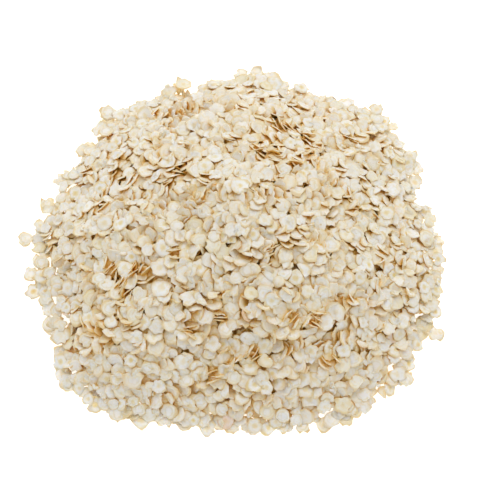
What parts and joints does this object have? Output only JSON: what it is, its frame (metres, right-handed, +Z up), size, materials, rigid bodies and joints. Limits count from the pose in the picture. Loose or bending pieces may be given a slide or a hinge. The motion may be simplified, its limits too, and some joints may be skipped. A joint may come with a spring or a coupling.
{
  "type": "heap of quinoa flakes",
  "caption": "Loose heap of dry quinoa flakes, a low rounded mound with an uneven rim of spilt flakes, as poured out on a table.",
  "frame": {"origin": "middle of the heap's foot, on the surface that it lies on", "axes": "+Z up; -Y is the side that the picture looks from, and +X is to its right"},
  "size_m": [0.089, 0.0836, 0.0208],
  "materials": {
    "quinoa_flakes": "dry and matt, cream with golden rims"
  },
  "bodies": {
    "root": {"flake_heap": "quinoa_flakes"}
  },
  "joints": []
}
